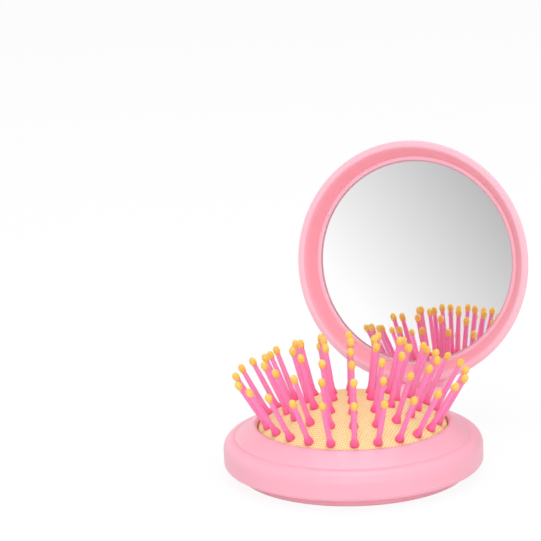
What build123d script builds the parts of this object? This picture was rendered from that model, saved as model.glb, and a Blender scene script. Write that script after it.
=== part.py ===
"""Folding pop-up hairbrush: a round base with a rubber bristle pad, and a hinged lid with a mirror.

Millimetres. The origin is the centre of the ring that the brush stands on, +Z is up and the
hinge lies towards +Y. The lid is open on its stop and the bristles stand popped up.
"""
import os
from math import asin, cos, pi, radians, sin, sqrt
from random import Random

from build123d import *

os.makedirs("parts", exist_ok=True)

# Clearances
running_gap = 0.05       # between a pin and the bore that turns on it
seat_gap = 0.1           # between pieces that rest on or in each other
slide_gap = 0.3          # between pieces that move past each other

# Base
base_radius = 36.0
base_wall = 1.8
base_floor = 1.6         # thickness of the lower shell's floor
base_heel_round = 1.2    # of the edge between the underside and the wall
base_shell_height = 8.0  # from the shell's underside up to its rim
rim_width = 3.6          # rounded rim of the lower shell, which stands round the top ring
rim_round = 3.2          # of the rim's outer edge
rim_inner_round = 0.3
ledge_drop = 1.4         # from the rim down to the ledge that the top ring rests on
ledge_width = 0.6
ledge_thickness = 0.8
foot_height = 2.45
foot_width = 3.7
foot_inset = 3.95        # from the base's wall in to the foot
foot_chamfer = 0.4

# Top ring of the base, round the pad
ring_width = 9.5         # from the base's wall in to the opening that the pad fills
lip_rise = 3.4           # from the base's rim up to the lip
lip_land = 0.9           # flat top of the lip before the slope begins
lip_round = 0.7
tube_wall = 1.7          # tube below the lip, which holds the pad's flange down
ring_edge_drop = 0.35    # from the base's rim down to the ring's outer edge
ring_edge_round = 0.45
ring_wall = 2.3
spigot_wall = 1.2        # spigot that plugs the ring into the lower shell
spigot_depth = 1.4

# Rubber pad
dome_radius = 46.0
dome_rise = 7.3          # from the lip up to the dome's top
pad_thickness = 1.6
skirt_wall = 1.2
shoulder_width = 0.5     # bevel between the dome and its skirt
shoulder_drop = 0.8
flange_width = 3.4
flange_thickness = 1.3
clamp_thickness = 1.2    # ring under the flange

# Push button under the pad
button_radius = 13.0
button_thickness = 2.0
button_edge = 1.5
button_land = 1.8        # flat ring round the dish on the underside
button_chamfer = 0.5

# Bristles, all moulded alike and square to the dome
bristle_radius = 0.66
bristle_length = 15.3    # from the foot to the middle of the ball tip
ball_radius = 1.05
bristle_foot_radius = 1.2
bristle_foot_height = 1.6
bristle_foot_edge = 0.25
pattern_turn = 22.5      # degrees from the front to the bristles that all the rings line up on
outer_ring_inset = 2.5   # from the lip to the outer of the four evenly spaced rings
outer_ring_count = 24
second_ring_count = 18
middle_ring_count = 12
inner_ring_count = 6

# Hinge
hinge_offset = 5.0       # from the base's wall out to the pin
hinge_drop = 2.5         # from the base's rim down to the pin
hinge_pin_radius = 1.0
hinge_pin_recess = 0.2   # of each end of the pin in its ear
hinge_pin_chamfer = 0.2
hinge_half_width = 11.0  # over the lid's two ears
knuckle_radius = 3.9
ear_radius = 2.9
ear_thickness = 1.9
ear_gap = 1.8            # open space between an ear and the base knuckle beside it
centre_knuckle_width = 5.6
knuckle_waist_depth = 0.9
knuckle_waist_radius = 2.35
arm_margin = 0.4         # from an arm's root to the edges of what it grows out of

# Lid, in its own frame: height 0 is the rim plane, heights grow towards the outside
lid_open_angle = 98.0
lid_rim_width = 1.8
lid_rim_round = 0.5
lid_rim_blend = 0.45     # of the rim into the wall round the mirror
lid_side_run = 4.8       # from the rim in to the edge of the flat top
lid_side_radius = 32.0   # of the side's slight bulge
lid_inner_slope = 2.9    # how far the wall round the mirror slopes in
lid_web = 1.0            # floor between the mirror and the decorated panel
mirror_depth = 4.9       # from the rim plane down to the glass
mirror_thickness = 1.2
mirror_tuck = 0.6        # of the glass under the bezel
tape_thickness = 0.3
tape_inset = 3.8         # from the edge of the glass
bezel_width = 1.0
bezel_thickness = 0.6
panel_ledge = 0.7        # flat rim of the lid round the panel's recess
panel_recess = 1.0
panel_thickness = 0.6
neck_setback = 0.6       # from the rim plane to the neck
neck_overhang = 2.0      # of the neck beyond the lid's wall
neck_thickness = 6.2
neck_fillet = 3.0
block_rise = 1.4         # of the hinge block above the lid's top
block_round = 0.8

# Rhinestones on the panel, scattered round three bare places for the printed motifs
stone_radii = (2.0, 1.45, 1.0)
stone_counts = (24, 34, 42)
stone_sides = 8
stone_taper = 38.0
stone_height_share = 0.5  # crown height as a share of the stone's radius
stone_spacing = 0.25
stone_seed = 11
stone_tries = 6000
motif_circles = ((-8.0, 6.5, 13.0), (14.5, -1.5, 8.5), (-1.5, -16.0, 8.0))


def dome_height(radius):
    """Height of the pad's outer surface at a distance from the brush's axis."""
    return dome_apex - dome_radius + sqrt(dome_radius**2 - radius**2)


def dome_point(radius, azimuth, rise=0.0):
    """Point above the dome, and the dome's outward normal there."""
    tilt = asin(radius / dome_radius)
    outward = Vector(sin(azimuth), -cos(azimuth), 0)
    normal = outward * sin(tilt) + Vector(0, 0, cos(tilt))
    return outward * radius + Vector(0, 0, dome_height(radius)) + normal * rise, normal


def save(piece, name):
    piece.part.label = name
    export_step(piece.part, f"parts/{name}.step")


# Heights of the base, from the table up
shell_bottom = foot_height + running_gap
shell_floor_top = shell_bottom + base_floor
heel_top = shell_bottom + base_heel_round
rim_height = shell_bottom + base_shell_height
ledge_height = rim_height - ledge_drop
ledge_foot = ledge_height - ledge_thickness
lip_height = rim_height + lip_rise
dome_apex = lip_height + dome_rise
clamp_bottom = shell_floor_top + seat_gap
clamp_top = clamp_bottom + clamp_thickness
flange_bottom = clamp_top + seat_gap
flange_top = flange_bottom + flange_thickness
tube_bottom = flange_top + seat_gap
hinge_z = rim_height - hinge_drop

# Radii of the base
lip_radius = base_radius - ring_width
wall_inner_radius = base_radius - base_wall
rim_inner = base_radius - rim_width
ledge_inner = rim_inner - ledge_width
skirt_outer = lip_radius - slide_gap
skirt_inner = skirt_outer - skirt_wall
flange_radius = skirt_outer + flange_width
shell_hole_radius = skirt_outer + skirt_wall
foot_radius = base_radius - foot_inset
hinge_y = base_radius + hinge_offset

with BuildPart() as base_lower_shell:
    # Bowl: flat floor with the finger opening, upright wall, and a rim rounded outside
    # and thickened inside into the ledge that carries the top ring.
    with BuildSketch(Plane.XZ) as bowl_profile:
        with BuildLine():
            Polyline(
                (shell_hole_radius, shell_bottom),
                (base_radius, shell_bottom),
                (base_radius, rim_height),
                (rim_inner, rim_height),
                (rim_inner, ledge_height),
                (ledge_inner, ledge_height),
                (ledge_inner, ledge_foot),
                (wall_inner_radius, ledge_foot - (wall_inner_radius - ledge_inner)),
                (wall_inner_radius, shell_floor_top),
                (shell_hole_radius, shell_floor_top),
                (shell_hole_radius, shell_bottom),
            )
        make_face()
        inner_corner = bowl_profile.vertices().group_by(Axis.Y)[-1].sort_by(Axis.X)[0]
        fillet(inner_corner, radius=rim_inner_round)
        outer_corner = bowl_profile.vertices().group_by(Axis.Y)[-1].sort_by(Axis.X)[-1]
        fillet(outer_corner, radius=rim_round)
        heel_corner = bowl_profile.vertices().group_by(Axis.Y)[0].sort_by(Axis.X)[-1]
        fillet(heel_corner, radius=base_heel_round)
    revolve(axis=Axis.Z)
    # Two hinge knuckles on arms that grow out of the wall.
    knuckle_near = centre_knuckle_width / 2 + slide_gap
    knuckle_far = hinge_half_width - ear_thickness - ear_gap
    arm_top = rim_height - rim_round
    arm_height = arm_top - heel_top - 2 * arm_margin
    for side in (-1, 1):
        with BuildSketch(Plane.YZ.offset(side * knuckle_near)):
            with Locations((hinge_y, hinge_z)):
                Circle(knuckle_radius)
            with Locations((base_radius - base_wall / 2, (heel_top + arm_top) / 2)):
                Rectangle(base_wall / 2, arm_height)
            make_hull()
        extrude(amount=side * (knuckle_far - knuckle_near))
    with BuildSketch(Plane.YZ):
        with Locations((hinge_y, hinge_z)):
            Circle(hinge_pin_radius + running_gap / 2)
    extrude(amount=hinge_half_width, both=True, mode=Mode.SUBTRACT)
save(base_lower_shell, "base_lower_shell")

ring_outer = rim_inner - seat_gap
ring_edge_height = rim_height - ring_edge_drop
ring_seat = ledge_height + running_gap
spigot_radius = ledge_inner - running_gap
spigot_bottom = ledge_height - spigot_depth

with BuildPart() as base_top_ring:
    # Slope from the rim up to the rounded lip, with a tube down to the pad's flange.
    with BuildSketch(Plane.XZ) as ring_profile:
        with BuildLine():
            Polyline(
                (ring_outer, ring_seat),
                (ring_outer, ring_edge_height),
                (lip_radius + lip_land, lip_height),
                (lip_radius, lip_height),
                (lip_radius, tube_bottom),
                (lip_radius + tube_wall, tube_bottom),
                (lip_radius + tube_wall, lip_height - ring_wall),
                (spigot_radius - spigot_wall, ledge_height),
                (spigot_radius - spigot_wall, spigot_bottom),
                (spigot_radius, spigot_bottom),
                (spigot_radius, ring_seat),
                (ring_outer, ring_seat),
            )
        make_face()
        lip_corner = ring_profile.vertices().group_by(Axis.Y)[-1].sort_by(Axis.X)[0]
        fillet(lip_corner, radius=lip_round)
        edge_corner = ring_profile.vertices().group_by(Axis.X)[-1].sort_by(Axis.Y)[-1]
        fillet(edge_corner, radius=ring_edge_round)
    revolve(axis=Axis.Z)
save(base_top_ring, "base_top_ring")

with BuildPart() as foot_ring:
    with BuildSketch():
        Circle(foot_radius)
        Circle(foot_radius - foot_width, mode=Mode.SUBTRACT)
    extrude(amount=foot_height)
    chamfer(foot_ring.faces().sort_by(Axis.Z)[0].edges(), length=foot_chamfer)
save(foot_ring, "foot_ring")

with BuildPart() as pad_clamp_ring:
    with BuildSketch(Plane.XY.offset(clamp_bottom)):
        Circle(flange_radius)
        Circle(shell_hole_radius, mode=Mode.SUBTRACT)
    extrude(amount=clamp_thickness)
save(pad_clamp_ring, "pad_clamp_ring")

with BuildPart() as hinge_pin:
    with BuildSketch(Plane.YZ):
        with Locations((hinge_y, hinge_z)):
            Circle(hinge_pin_radius)
    extrude(amount=hinge_half_width - hinge_pin_recess, both=True)
    chamfer(hinge_pin.edges().filter_by(GeomType.CIRCLE), length=hinge_pin_chamfer)
save(hinge_pin, "hinge_pin")

dome_edge = skirt_outer - shoulder_width
shoulder_height = dome_height(dome_edge) - shoulder_drop
inner_dome_radius = dome_radius - pad_thickness
inner_apex = dome_apex - pad_thickness
inner_edge = skirt_inner - shoulder_width
inner_edge_height = inner_apex - inner_dome_radius + sqrt(inner_dome_radius**2 - inner_edge**2)

with BuildPart() as brush_pad:
    # Dome, rolling skirt inside the tube, and the flange that the base clamps.
    with BuildSketch(Plane.XZ):
        with BuildLine():
            RadiusArc((dome_edge, dome_height(dome_edge)), (0, dome_apex), -dome_radius)
            Line((0, dome_apex), (0, inner_apex))
            RadiusArc((0, inner_apex), (inner_edge, inner_edge_height), inner_dome_radius)
            Polyline(
                (inner_edge, inner_edge_height),
                (skirt_inner, shoulder_height - pad_thickness),
                (skirt_inner, flange_bottom),
                (flange_radius, flange_bottom),
                (flange_radius, flange_top),
                (skirt_outer, flange_top),
                (skirt_outer, shoulder_height),
                (dome_edge, dome_height(dome_edge)),
            )
        make_face()
    revolve(axis=Axis.Z)
save(brush_pad, "brush_pad")

button_top_radius = inner_dome_radius - seat_gap
button_apex = inner_apex - seat_gap
button_rim_height = button_apex - button_top_radius + sqrt(button_top_radius**2 - button_radius**2)
button_bottom = button_rim_height - button_edge
dish_radius = button_radius - button_land
dish_depth = button_apex - button_thickness - button_bottom
dish_arc_radius = (dish_radius**2 + dish_depth**2) / (2 * dish_depth)

with BuildPart() as push_button:
    # Domed disc under the pad's middle, dished below for a fingertip.
    with BuildSketch(Plane.XZ):
        with BuildLine():
            RadiusArc((button_radius, button_rim_height), (0, button_apex), -button_top_radius)
            Line((0, button_apex), (0, button_bottom + dish_depth))
            RadiusArc((0, button_bottom + dish_depth), (dish_radius, button_bottom), dish_arc_radius)
            Polyline(
                (dish_radius, button_bottom),
                (button_radius - button_chamfer, button_bottom),
                (button_radius, button_bottom + button_chamfer),
                (button_radius, button_rim_height),
            )
        make_face()
    revolve(axis=Axis.Z)
save(push_button, "push_button")

neck_height = bristle_length - sqrt(ball_radius**2 - bristle_radius**2)


def bristle_group(places, name):
    """One node of bristles, each given by its ring radius and its azimuth in degrees."""
    with BuildPart() as group:
        for ring_radius, azimuth in places:
            foot, normal = dome_point(ring_radius, radians(azimuth), seat_gap)
            across = Vector(cos(radians(azimuth)), sin(radians(azimuth)), 0)
            section = Plane(origin=foot, x_dir=across, z_dir=across.cross(normal))
            with BuildSketch(section):
                # Half section: flared foot, straight shaft and ball tip.
                with BuildLine():
                    Polyline(
                        (0, 0),
                        (bristle_foot_radius, 0),
                        (bristle_foot_radius, bristle_foot_edge),
                        (bristle_radius, bristle_foot_height),
                        (bristle_radius, neck_height),
                    )
                    ThreePointArc(
                        (bristle_radius, neck_height),
                        (ball_radius, bristle_length),
                        (0, bristle_length + ball_radius),
                    )
                    Line((0, bristle_length + ball_radius), (0, 0))
                make_face()
            revolve(axis=Axis(foot, normal))
    save(group, name)


outer_ring_radius = lip_radius - outer_ring_inset
second_ring_radius = outer_ring_radius * 3 / 4
middle_ring_radius = outer_ring_radius / 2
inner_ring_radius = outer_ring_radius / 4

# The second ring has three bristles to the outer ring's four, so each stands with the
# outer bristle nearest to it, and every fourth outer bristle stands alone.
for number in range(outer_ring_count):
    outer_azimuth = number * 360 / outer_ring_count
    places = [(outer_ring_radius, pattern_turn + outer_azimuth)]
    for place in range(second_ring_count):
        second_azimuth = place * 360 / second_ring_count
        if abs(second_azimuth - outer_azimuth) < 180 / outer_ring_count:
            places.append((second_ring_radius, pattern_turn + second_azimuth))
    bristle_group(places, f"outer_bristles_{number + 1:02d}")

for number in range(middle_ring_count):
    azimuth = pattern_turn + number * 360 / middle_ring_count
    bristle_group([(middle_ring_radius, azimuth)], f"middle_bristle_{number + 1:02d}")

centre_places = [(0, pattern_turn)]
for number in range(inner_ring_count):
    centre_places.append((inner_ring_radius, pattern_turn + number * 360 / inner_ring_count))
bristle_group(centre_places, "centre_bristles")

# The lid's frame: shut, its rim plane lies a sliding gap above the base's rim, and it
# swings from there about the hinge pin.
swing = radians(lid_open_angle)
rim_rise = rim_height + slide_gap - hinge_z
lid_plane = Plane(
    origin=(
        0,
        hinge_y - hinge_y * cos(swing) + rim_rise * sin(swing),
        hinge_z + hinge_y * sin(swing) + rim_rise * cos(swing),
    ),
    x_dir=(1, 0, 0),
    z_dir=(0, sin(swing), cos(swing)),
)
lid_axis = Axis(lid_plane.origin, lid_plane.z_dir)
lid_section = Plane(origin=lid_plane.origin, x_dir=(1, 0, 0), z_dir=-lid_plane.y_dir)
lid_side = Plane(origin=lid_plane.origin, x_dir=lid_plane.y_dir, z_dir=(1, 0, 0))

# Radii of the lid, from the wall inwards
lid_radius = base_radius
rim_inner_radius = lid_radius - lid_rim_width
bezel_pocket_radius = rim_inner_radius - lid_inner_slope
bezel_radius = bezel_pocket_radius - seat_gap
mirror_view_radius = bezel_radius - bezel_width
mirror_radius = mirror_view_radius + mirror_tuck
tape_radius = mirror_radius - tape_inset
top_radius = lid_radius - lid_side_run
panel_pocket_radius = top_radius - panel_ledge
panel_radius = panel_pocket_radius - slide_gap

# Heights of the lid, from the rim plane outwards
bezel_face = mirror_depth - bezel_thickness
mirror_back = mirror_depth + running_gap + mirror_thickness
tape_back = mirror_back + running_gap + tape_thickness
pocket_depth = tape_back + running_gap
panel_floor = pocket_depth + lid_web
lid_top = panel_floor + panel_recess
neck_top = neck_setback + neck_thickness
neck_reach = lid_radius + neck_overhang

with BuildPart() as lid_shell:
    # Disc with a sloping, slightly bulging side and the panel's recess.
    with BuildSketch(lid_section):
        with BuildLine():
            Line((0, 0), (lid_radius - lid_rim_round, 0))
            RadiusArc((lid_radius - lid_rim_round, 0), (lid_radius, lid_rim_round), -lid_rim_round)
            RadiusArc((lid_radius, lid_rim_round), (top_radius, lid_top), -lid_side_radius)
            Polyline(
                (top_radius, lid_top),
                (panel_pocket_radius, lid_top),
                (panel_pocket_radius, panel_floor),
                (0, panel_floor),
                (0, 0),
            )
        make_face()
    revolve(axis=lid_axis)
    # Neck that carries the hinge, blended into the side at each height.
    side_lean = lid_side_run / (lid_top - lid_rim_round)
    for height in (neck_setback, neck_top):
        with BuildSketch(lid_plane.offset(height)) as neck:
            Circle(lid_radius - (height - lid_rim_round) * side_lean)
            with Locations((0, neck_reach / 2)):
                Rectangle(2 * (hinge_half_width + seat_gap), neck_reach)
            fillet(neck.vertices().group_by(Axis.Y)[-2], radius=neck_fillet)
    loft(ruled=True)
    # Raised block over the neck, hollowed to follow the panel.
    with BuildSketch(lid_plane.offset(neck_top - seat_gap)):
        with Locations((0, neck_reach / 2)):
            Rectangle(2 * hinge_half_width, neck_reach)
        Circle(top_radius + seat_gap, mode=Mode.SUBTRACT)
        with Locations((0, -lid_radius / 2)):
            Rectangle(2 * lid_radius, lid_radius, mode=Mode.SUBTRACT)
    extrude(amount=lid_top + block_rise - neck_top + seat_gap)
    block_face = lid_shell.faces().sort_by(lid_axis)[-1]
    fillet(block_face.edges(), radius=block_round)
    # Centre knuckle and the two ears, on arms from the neck down to the pin.
    arm_width = neck_overhang - arm_margin
    knuckles = (
        (-centre_knuckle_width / 2, centre_knuckle_width, knuckle_radius),
        (-hinge_half_width, ear_thickness, ear_radius),
        (hinge_half_width - ear_thickness, ear_thickness, ear_radius),
    )
    for start, width, radius in knuckles:
        with BuildSketch(lid_side.offset(start)):
            with Locations((hinge_y, -rim_rise)):
                Circle(radius)
            with Locations((neck_reach - seat_gap - arm_width / 2, (neck_setback + neck_top) / 2)):
                Rectangle(arm_width, neck_thickness - 2 * arm_margin)
            make_hull()
        extrude(amount=width)
    # Waist of the centre knuckle, scooped out of both of its sides.
    with BuildSketch(lid_plane.offset(neck_top)):
        for side in (-1, 1):
            waist_x = centre_knuckle_width / 2 - knuckle_waist_depth + knuckle_waist_radius
            with Locations((side * waist_x, neck_reach + slide_gap + knuckle_waist_radius)):
                Circle(knuckle_waist_radius)
    extrude(amount=-(neck_top + rim_rise + knuckle_radius), mode=Mode.SUBTRACT)
    with BuildSketch(lid_side):
        with Locations((hinge_y, -rim_rise)):
            Circle(hinge_pin_radius + running_gap)
    extrude(amount=2 * hinge_half_width, both=True, mode=Mode.SUBTRACT)
    # Recess of the mirror, its tape and its bezel, with a sloping wall.
    blend_share = lid_rim_blend / sqrt(lid_inner_slope**2 + bezel_face**2)
    blend_end = (rim_inner_radius - lid_inner_slope * blend_share, bezel_face * blend_share)
    with BuildSketch(lid_section):
        with BuildLine():
            Line((0, 0), (rim_inner_radius + lid_rim_blend, 0))
            TangentArc((rim_inner_radius + lid_rim_blend, 0), blend_end, tangent=(-1, 0))
            Polyline(
                blend_end,
                (bezel_pocket_radius, bezel_face),
                (bezel_pocket_radius, mirror_depth),
                (mirror_radius + seat_gap, mirror_depth),
                (mirror_radius + seat_gap, pocket_depth),
                (0, pocket_depth),
                (0, 0),
            )
        make_face()
    revolve(axis=lid_axis, mode=Mode.SUBTRACT)
save(lid_shell, "lid_shell")


def lid_disc(outer, inner, start, thickness, name):
    """Flat disc or ring seated in the lid, from one height in the lid's frame."""
    with BuildPart() as disc:
        with BuildSketch(lid_plane.offset(start)):
            Circle(outer)
            if inner:
                Circle(inner, mode=Mode.SUBTRACT)
        extrude(amount=thickness)
    save(disc, name)


lid_disc(mirror_radius, 0, mirror_depth + running_gap, mirror_thickness, "mirror_glass")
lid_disc(tape_radius, 0, mirror_back + running_gap, tape_thickness, "mirror_tape")
lid_disc(bezel_radius, mirror_view_radius, bezel_face, bezel_thickness, "mirror_bezel")
lid_disc(panel_radius, 0, panel_floor + running_gap, panel_thickness, "decorated_panel")


def stone_places():
    """Scatter of stones, largest first, that clear one another, the edge and the motifs."""
    scatter = Random(stone_seed)
    stones = []
    for size, count in zip(stone_radii, stone_counts):
        reach = panel_radius - size - stone_spacing
        wanted = len(stones) + count
        for _ in range(stone_tries):
            distance = reach * sqrt(scatter.random())
            angle = scatter.uniform(0, 2 * pi)
            place = (distance * cos(angle), distance * sin(angle), size)
            taken = [*stones, *motif_circles]
            clear = all(
                (place[0] - x) ** 2 + (place[1] - y) ** 2 > (size + radius + stone_spacing) ** 2
                for x, y, radius in taken
            )
            if clear and len(stones) < wanted:
                stones.append(place)
    return stones


stone_seat = panel_floor + panel_thickness + 2 * running_gap
for colour, name in enumerate(("violet_stones", "pink_stones")):
    with BuildPart() as stones:
        for x, y, size in stone_places()[colour::2]:
            with BuildSketch(lid_plane.offset(stone_seat)):
                with Locations((x, y)):
                    RegularPolygon(size, stone_sides)
            extrude(amount=size * stone_height_share, taper=stone_taper)
    save(stones, name)
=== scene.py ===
import math
import random

import bmesh
import bpy
from mathutils import Matrix, Vector


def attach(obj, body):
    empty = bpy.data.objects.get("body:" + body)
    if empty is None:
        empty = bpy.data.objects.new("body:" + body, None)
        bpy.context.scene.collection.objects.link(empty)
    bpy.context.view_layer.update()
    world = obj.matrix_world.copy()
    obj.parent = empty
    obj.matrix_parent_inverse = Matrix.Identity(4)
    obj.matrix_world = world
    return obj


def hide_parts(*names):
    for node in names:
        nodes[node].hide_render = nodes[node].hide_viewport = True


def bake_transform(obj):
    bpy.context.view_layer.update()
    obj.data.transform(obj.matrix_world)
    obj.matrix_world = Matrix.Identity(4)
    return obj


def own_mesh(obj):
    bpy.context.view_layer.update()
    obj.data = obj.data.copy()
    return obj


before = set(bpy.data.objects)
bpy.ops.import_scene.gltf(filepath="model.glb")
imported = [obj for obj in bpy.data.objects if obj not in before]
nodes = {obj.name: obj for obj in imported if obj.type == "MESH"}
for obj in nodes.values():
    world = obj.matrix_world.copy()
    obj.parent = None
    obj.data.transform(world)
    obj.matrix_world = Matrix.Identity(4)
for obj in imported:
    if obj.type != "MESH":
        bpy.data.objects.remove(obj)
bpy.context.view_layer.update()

mm = 0.001
up = Vector((0, 0, 1))


def linear(hexCode):
    channels = [int(hexCode[i:i + 2], 16) / 255 for i in (1, 3, 5)]
    return (*(c / 12.92 if c <= 0.04045 else ((c + 0.055) / 1.055) ** 2.4 for c in channels), 1)


def setInputs(tree, node, inputs):
    # a socket is linked, a node stands for its first output, and anything else is set as the value
    for name, value in inputs.items():
        if isinstance(value, bpy.types.Node):
            value = value.outputs[0]
        if isinstance(value, bpy.types.NodeSocket):
            tree.links.new(value, node.inputs[name])
        else:
            node.inputs[name].default_value = value


def addNode(tree, kind, inputs=None, **settings):
    node = tree.nodes.new("ShaderNode" + kind)
    for name, value in settings.items():
        setattr(node, name, value)
    setInputs(tree, node, inputs or {})
    return node


def newMaterial(name):
    # gives the material, its node tree and its principled shader
    material = bpy.data.materials.new(name)
    material.use_nodes = True
    tree = material.node_tree
    tree.nodes.clear()
    shader = addNode(tree, "BsdfPrincipled")
    addNode(tree, "OutputMaterial", {"Surface": shader})
    return material, tree, shader


def setRamp(ramp, places, hexCodes):
    elements = ramp.color_ramp.elements
    while len(elements) < len(places):
        elements.new(1)
    for element, place, hexCode in zip(elements, places, hexCodes):
        element.position = place
        element.color = linear(hexCode)


def patterned(tree, kind, size, inputs=None):
    # a texture that moves with its piece, its pattern of a size in mm
    place = addNode(tree, "TexCoord").outputs["Object"]
    return addNode(tree, kind, {"Vector": place, "Scale": 1 / (size * mm), **(inputs or {})})


def mottled(tree, size, detail, places, hexCodes):
    # a colour that drifts from one to another over a size in mm, as a node
    noise = patterned(tree, "TexNoise", size, {"Detail": detail})
    ramp = addNode(tree, "ValToRGB", {"Fac": noise})
    setRamp(ramp, places, hexCodes)
    return ramp


def grained(tree, size, detail, depth):
    # bumps of a size and depth in mm, as a node
    noise = patterned(tree, "TexNoise", size, {"Detail": detail})
    return addNode(tree, "Bump", {"Height": noise, "Distance": depth * mm})


def translucent(finish):
    # how far light spreads under the surface, for the shader's inputs
    return {"Subsurface Weight": finish["translucency"], "Subsurface Radius": finish["lightShares"],
            "Subsurface Scale": finish["lightReach"] * mm}


def addPiece(name, mesh, body, material, smooth=True, creaseAngle=40):
    # turns a bmesh into a piece that rides on a body
    data = bpy.data.meshes.new(name)
    bmesh.ops.recalc_face_normals(mesh, faces=mesh.faces)
    for face in mesh.faces:
        face.smooth = smooth
    if smooth:
        for edge in mesh.edges:
            edge.smooth = edge.calc_face_angle(0) < math.radians(creaseAngle)
    mesh.to_mesh(data)
    mesh.free()
    piece = bpy.data.objects.new(name, data)
    bpy.context.scene.collection.objects.link(piece)
    data.materials.append(material)
    if body:
        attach(piece, body)
    return piece


def addTurned(mesh, profile, place, sides):
    # turns a line of (radius, height) in mm about the z axis of a matrix
    # radius 0 closes to a point, and a line that comes back to its start closes on its first ring
    rings = []
    for radius, height in profile:
        if rings and (radius, height) == profile[0]:
            rings.append(rings[0])
            continue
        if radius == 0:
            rings.append([mesh.verts.new(place @ Vector((0, 0, height * mm)))])
            continue
        rings.append([
            mesh.verts.new(place @ Vector((
                radius * mm * math.cos(2 * math.pi * i / sides),
                radius * mm * math.sin(2 * math.pi * i / sides),
                height * mm)))
            for i in range(sides)])
    for lower, upper in zip(rings, rings[1:]):
        for i in range(sides):
            j = (i + 1) % sides
            corners = ((lower, i), (lower, j), (upper, j), (upper, i))
            mesh.faces.new(list(dict.fromkeys(ring[k % len(ring)] for ring, k in corners)))


def turnedPiece(name, profile, place, sides, body, material, creaseAngle=40):
    mesh = bmesh.new()
    addTurned(mesh, profile, place, sides)
    return addPiece(name, mesh, body, material, creaseAngle=creaseAngle)


# Camera: its aim, how far round, up and tilted it stands from there in degrees, and its lens.
camera = {
    "aim": (-29.55, 14.23, 51.74),  # mm
    "azimuth": 23.97,
    "elevation": 12.49,
    "roll": -2.03,
    "distance": 560.24,     # mm
    "lens": 130.59,         # mm
    "sensor": 36,           # mm
    "clip": (0.05, 20),     # m
}


def addCamera():
    data = bpy.data.cameras.new("camera")
    data.lens = camera["lens"]
    data.sensor_width = camera["sensor"]
    data.clip_start, data.clip_end = camera["clip"]
    eye = bpy.data.objects.new("camera", data)
    bpy.context.scene.collection.objects.link(eye)
    turn = Matrix.Rotation(math.radians(camera["azimuth"]), 4, "Z")
    lift = Matrix.Rotation(math.radians(90 - camera["elevation"]), 4, "X")
    tip = Matrix.Rotation(math.radians(camera["roll"]), 4, "Z")
    look = turn @ lift @ tip
    back = look.to_3x3() @ up
    place = Vector(camera["aim"]) * mm + back * camera["distance"] * mm
    eye.matrix_world = Matrix.Translation(place) @ look
    bpy.context.scene.camera = eye
    bpy.context.scene.view_settings.view_transform = "Standard"


# Studio: soft lamps in a white room. Sizes and places are in metres, powers in watts.
studio = {
    "worldColour": "#FFFFFF",
    "worldStrength": 0.69,
    "backdropColour": "#FFFFFF",
    "roomSlope": (-2.93, 0.0, -2.47),
    "roomReach": (0.5, 0.98),   # where along that slope the mirrored room turns from grey to white
    "roomGrey": 0.27,
    "lamps": (
        ("keyLamp", (0.3, -1.0, 0.25), 0.9, 4.0),
        ("sideLamp", (0.95, -0.45, 0.35), 0.9, 1.0),
        ("topLamp", (0.0, 0.0, 1.2), 0.9, 4.8),
    ),
    "lampAim": (0, 0.01, 0.04),
    "floorReach": 3.0,
    "floorColour": "#FFFFFF",
    "floorBounce": "#E2DFDF",   # what bounced light sees of the floor
    "floorGlow": 0.9,
    "floorRoughness": 0.9,
}


def addWorld():
    world = bpy.data.worlds.new("softStudio")
    bpy.context.scene.world = world
    world.use_nodes = True
    tree = world.node_tree
    tree.nodes.clear()
    backdrop = linear(studio["backdropColour"])
    path = addNode(tree, "LightPath")
    shown = addNode(tree, "Math", {
        0: path.outputs["Is Camera Ray"], 1: path.outputs["Is Transmission Ray"]}, operation="MAXIMUM")
    # polished faces mirror a white room that greys softly upwards and to the right
    direction = addNode(tree, "TexCoord")
    slope = addNode(tree, "VectorMath", {
        0: direction.outputs["Generated"], 1: studio["roomSlope"]}, operation="DOT_PRODUCT")
    start, end = studio["roomReach"]
    room = addNode(tree, "MapRange", {
        "Value": slope.outputs["Value"], "From Min": start, "From Max": end,
        "To Min": studio["roomGrey"], "To Max": 1.0})
    roomGlow = addNode(tree, "Background", {"Color": backdrop, "Strength": room})
    white = addNode(tree, "Background", {"Color": backdrop, "Strength": 1.0})
    soft = addNode(tree, "Background", {
        "Color": linear(studio["worldColour"]), "Strength": studio["worldStrength"]})
    unseen = addNode(tree, "MixShader", {0: path.outputs["Is Glossy Ray"], 1: soft, 2: roomGlow})
    mixed = addNode(tree, "MixShader", {0: shown, 1: unseen, 2: white})
    addNode(tree, "OutputWorld", {"Surface": mixed})


def addLamps():
    for name, place, size, power in studio["lamps"]:
        data = bpy.data.lights.new(name, "AREA")
        data.shape = "DISK"
        data.size = size
        data.energy = power
        lamp = bpy.data.objects.new(name, data)
        bpy.context.scene.collection.objects.link(lamp)
        lamp.location = place
        look = Vector(studio["lampAim"]) - lamp.location
        lamp.rotation_euler = look.to_track_quat("-Z", "Y").to_euler()


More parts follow.
